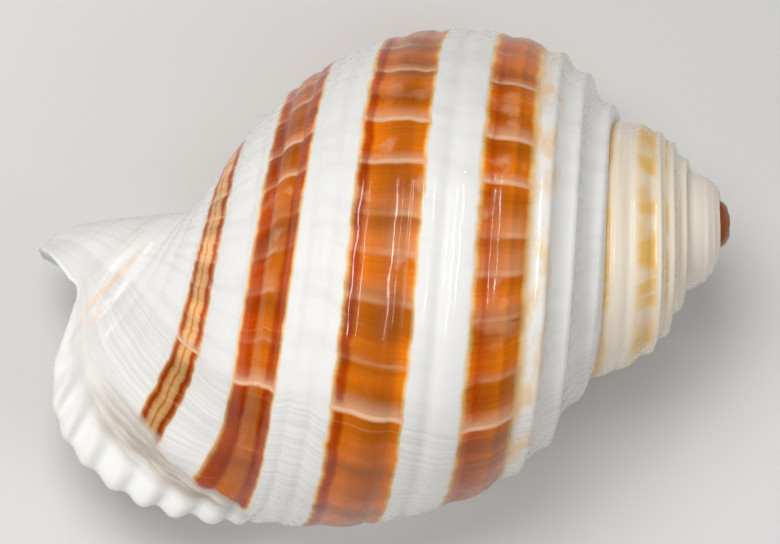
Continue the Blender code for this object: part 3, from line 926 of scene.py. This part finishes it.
def shell_material():
    material = bpy.data.materials.new("banded_porcelain")
    n = Nodes(material)
    at = Place(n)
    n.plug(shell_colour(n, at), n.shader.inputs["Base Color"])
    n.plug(n.pattern("roughness", at.cord, at.age), n.shader.inputs["Roughness"])
    add_relief(n, at)
    n.plug(n.ramp_range(at.age, *COAT), n.shader.inputs["Coat Weight"])
    n.shader.inputs["Coat Roughness"].default_value = COAT_ROUGHNESS
    n.shader.inputs["Specular IOR Level"].default_value = SPECULAR_LEVEL
    n.shader.inputs["Subsurface Weight"].default_value = SUBSURFACE
    n.shader.inputs["Subsurface Radius"].default_value = SUBSURFACE_REACH
    return material


# ---- floor, light, camera ---------------------------------------------------------

FLOOR_SIZE = 3.0
FLOOR_COLOUR = (0.74, 0.73, 0.71)
FLOOR_ROUGHNESS = 0.8
FLOOR_SPECKLE_SCALE = 3.0
# Floor shade: noise range, share of full white in it, and the darkest white.
FLOOR_SHADE = (0.3, 0.7, 0.985, 1.0)
FLOOR_DARKEST = (0.97, 0.97, 0.97)
PURE_WHITE = (1.0, 1.0, 1.0)


def floor_material():
    material = bpy.data.materials.new("floor_paper")
    n = Nodes(material)
    speckle = n.new("ShaderNodeTexNoise")
    n.plug(n.new("ShaderNodeTexCoord").outputs["Object"], speckle.inputs["Vector"])
    speckle.inputs["Scale"].default_value = FLOOR_SPECKLE_SCALE
    shade = n.mix(n.ramp_range(speckle.outputs["Fac"], *FLOOR_SHADE), FLOOR_DARKEST, PURE_WHITE)
    n.plug(n.mix(1.0, FLOOR_COLOUR, shade, "MULTIPLY"), n.shader.inputs["Base Color"])
    n.shader.inputs["Roughness"].default_value = FLOOR_ROUGHNESS
    return material


def make_floor():
    bpy.ops.mesh.primitive_plane_add(size=FLOOR_SIZE, location=(0.0, 0.0, 0.0))
    floor = bpy.context.object
    floor.name = "floor"
    floor.data.materials.append(floor_material())


# Lights: (name, place, size, size the other way, watts, seen only in reflections).
LIGHTS = [
    ("key_softbox", (-0.24, 0.26, 0.82), 0.4, 0.4, 5.0, False),
    ("left_softbox", (-0.62, -0.42, 0.42), 0.5, 0.5, 2.5, False),
    ("right_softbox", (0.50, -0.35, 0.65), 0.5, 0.5, 1.6, False),
    ("strip_left", (-0.16, 0.0, 0.9), 0.014, 1.3, 3.4, True),
    ("strip_right", (0.12, 0.0, 0.9), 0.010, 1.1, 2.4, True),
]
SKY_COLOUR = (0.95, 0.96, 1.0, 1.0)
SKY_STRENGTH = 0.17


def area_light(name, place, size, size_y, power, in_gloss):
    """Rectangular light aimed at the shell; in_gloss is True if it only mirrors in it."""
    data = bpy.data.lights.new(name, "AREA")
    data.shape = "RECTANGLE"
    data.size = size
    data.size_y = size_y
    data.energy = power
    lamp = bpy.data.objects.new(name, data)
    bpy.context.scene.collection.objects.link(lamp)
    lamp.location = place
    lamp.visible_glossy = in_gloss
    lamp.visible_diffuse = not in_gloss
    away = Vector(place).normalized()
    across = (Vector((1.0, 0.0, 0.0)) - away * away.x).normalized()
    axes = Matrix((across, away.cross(across), away)).transposed()
    lamp.rotation_euler = axes.to_euler()
    return lamp


def make_lights():
    for light in LIGHTS:
        area_light(*light)
    world = bpy.data.worlds.new("soft_studio")
    world.use_nodes = True
    sky = world.node_tree.nodes["Background"]
    sky.inputs["Color"].default_value = SKY_COLOUR
    sky.inputs["Strength"].default_value = SKY_STRENGTH
    world.cycles_visibility.glossy = False
    bpy.context.scene.world = world
    bpy.context.scene.view_settings.view_transform = "Standard"


PHOTO_TILT = 3.3 * DEGREE
PICTURE_WIDTH_MM = 121.68
PICTURE_CENTRE_MM = (-52.3, -8.3)
CAMERA_DISTANCE = 1.0
SENSOR = 36.0
NEAR_CLIP = 0.01


def make_camera(middle, cad_middle, shrink):
    """Long lens square to the coiling axis, looking at the shell's back."""
    turn = np.array(resting_turn().to_3x3())
    right = turn @ np.array([math.cos(PHOTO_TILT), 0.0, -math.sin(PHOTO_TILT)])
    up = turn @ np.array([math.sin(PHOTO_TILT), 0.0, math.cos(PHOTO_TILT)])
    back = np.cross(right, up)
    aim = (right * PICTURE_CENTRE_MM[0] + up * PICTURE_CENTRE_MM[1]) * MM
    aim = (aim - middle) * shrink + cad_middle
    data = bpy.data.cameras.new("photo_camera")
    data.sensor_width = SENSOR
    data.lens = SENSOR * CAMERA_DISTANCE / (PICTURE_WIDTH_MM * MM)
    data.clip_start = NEAR_CLIP
    camera = bpy.data.objects.new("photo_camera", data)
    bpy.context.scene.collection.objects.link(camera)
    matrix = Matrix([list(right), list(up), list(back)]).transposed().to_4x4()
    matrix.translation = Vector(aim + back * CAMERA_DISTANCE)
    camera.matrix_world = matrix
    bpy.context.scene.camera = camera


placement = make_shell()
make_floor()
make_lights()
make_camera(*placement)
